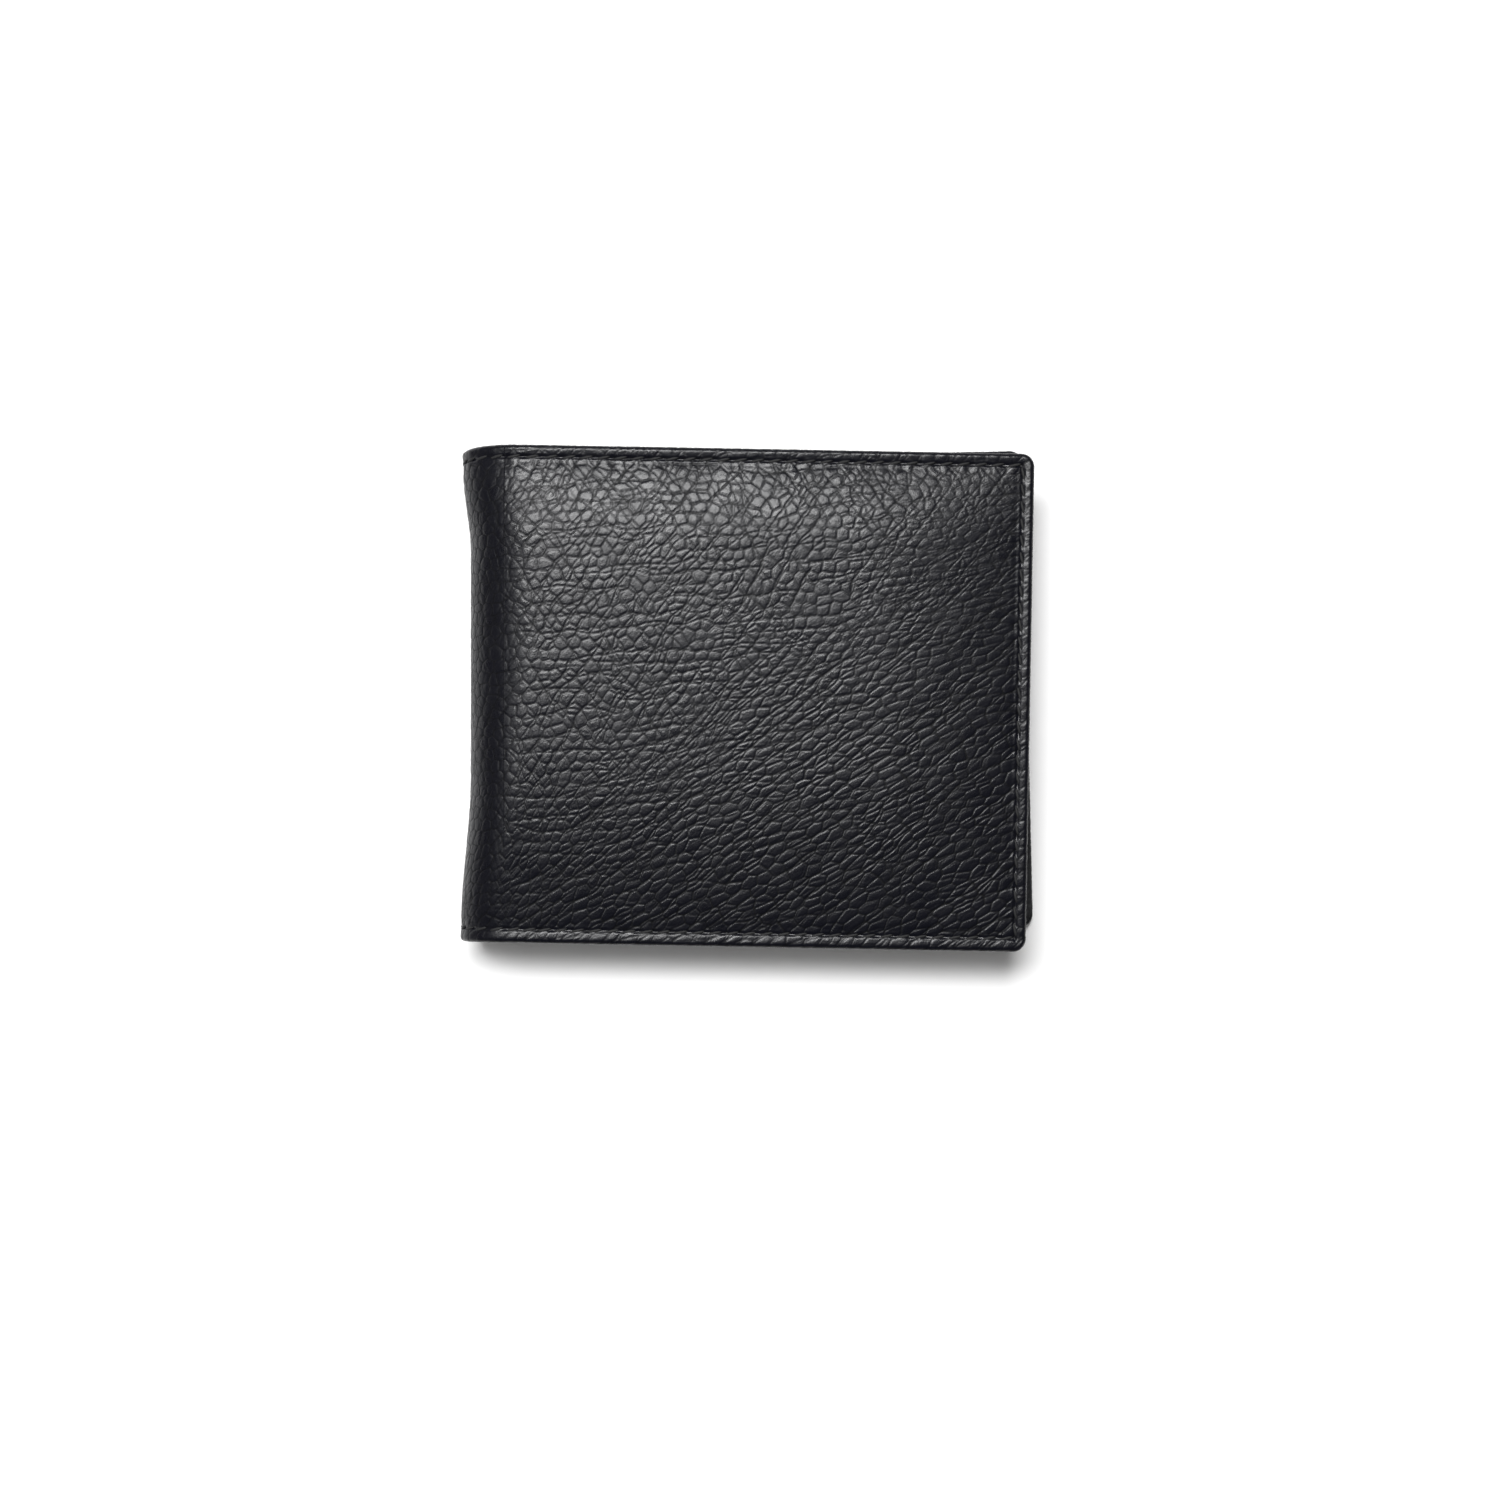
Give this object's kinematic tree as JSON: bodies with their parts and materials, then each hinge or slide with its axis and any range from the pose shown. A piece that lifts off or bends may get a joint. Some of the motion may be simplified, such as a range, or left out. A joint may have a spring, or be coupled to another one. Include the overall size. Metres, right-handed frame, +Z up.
{
  "type": "bifold wallet",
  "caption": "Padded leather bifold wallet, closed and lying on its back cover, with stitched turned edges, card pockets and note pockets inside.",
  "frame": {"origin": "on the flat middle of the back cover's underside, half a front cover's width from the fold", "axes": "+X from the fold to the fore edge, +Y to the open mouth of the note pockets, +Z up through the closed wallet"},
  "size_m": [0.1125, 0.0983, 0.02],
  "materials": {
    "cover_leather": "black full-grain cowhide with a soft pebbled grain and a low satin gloss",
    "inner_leather": "black smooth thin leather with a fine even grain",
    "lining": "black tightly woven polyester",
    "foam": "grey thin padding, hidden",
    "board": "brown bonded fibre board, hidden",
    "thread": "black bonded polyester sewing thread"
  },
  "bodies": {
    "back_half": {"back_cover_leather": "cover_leather", "back_cover_foam": "foam", "back_cover_board": "board", "back_cover_lining": "lining", "back_wing_leather": "inner_leather", "back_wing_lining": "lining", "back_card_pocket_1": "inner_leather", "back_card_pocket_2": "inner_leather", "back_card_pocket_3": "inner_leather", "back_card_pocket_4": "inner_leather", "back_pocket_liner_2": "lining", "back_pocket_liner_3": "lining", "back_pocket_liner_4": "lining", "back_edge_stitching": "thread", "back_wing_stitching": "thread", "back_pocket_stitching": "thread"},
    "spine": {"spine_leather": "cover_leather", "spine_lining": "lining", "spine_stitching": "thread"},
    "front_half": {"front_cover_leather": "cover_leather", "front_cover_foam": "foam", "front_cover_board": "board", "front_cover_lining": "lining", "front_wing_leather": "inner_leather", "front_wing_lining": "lining", "front_card_pocket_1": "inner_leather", "front_card_pocket_2": "inner_leather", "front_card_pocket_3": "inner_leather", "front_card_pocket_4": "inner_leather", "front_pocket_liner_2": "lining", "front_pocket_liner_3": "lining", "front_pocket_liner_4": "lining", "front_edge_stitching": "thread", "front_wing_stitching": "thread", "front_pocket_stitching": "thread"}
  },
  "joints": [
    {"name": "back_fold", "type": "hinge", "parent": "back_half", "child": "spine", "pos_m": [-0.0501, 0, 0.0005], "axis": [0, -1, 0], "range_deg": [0, 90]},
    {"name": "front_fold", "type": "hinge", "parent": "spine", "child": "front_half", "pos_m": [-0.0501, 0, 0.0195], "axis": [0, -1, 0], "range_deg": [0, 90]}
  ],
  "couplings": [
    {"joint": "front_fold", "follows": "back_fold", "ratio": 1}
  ]
}
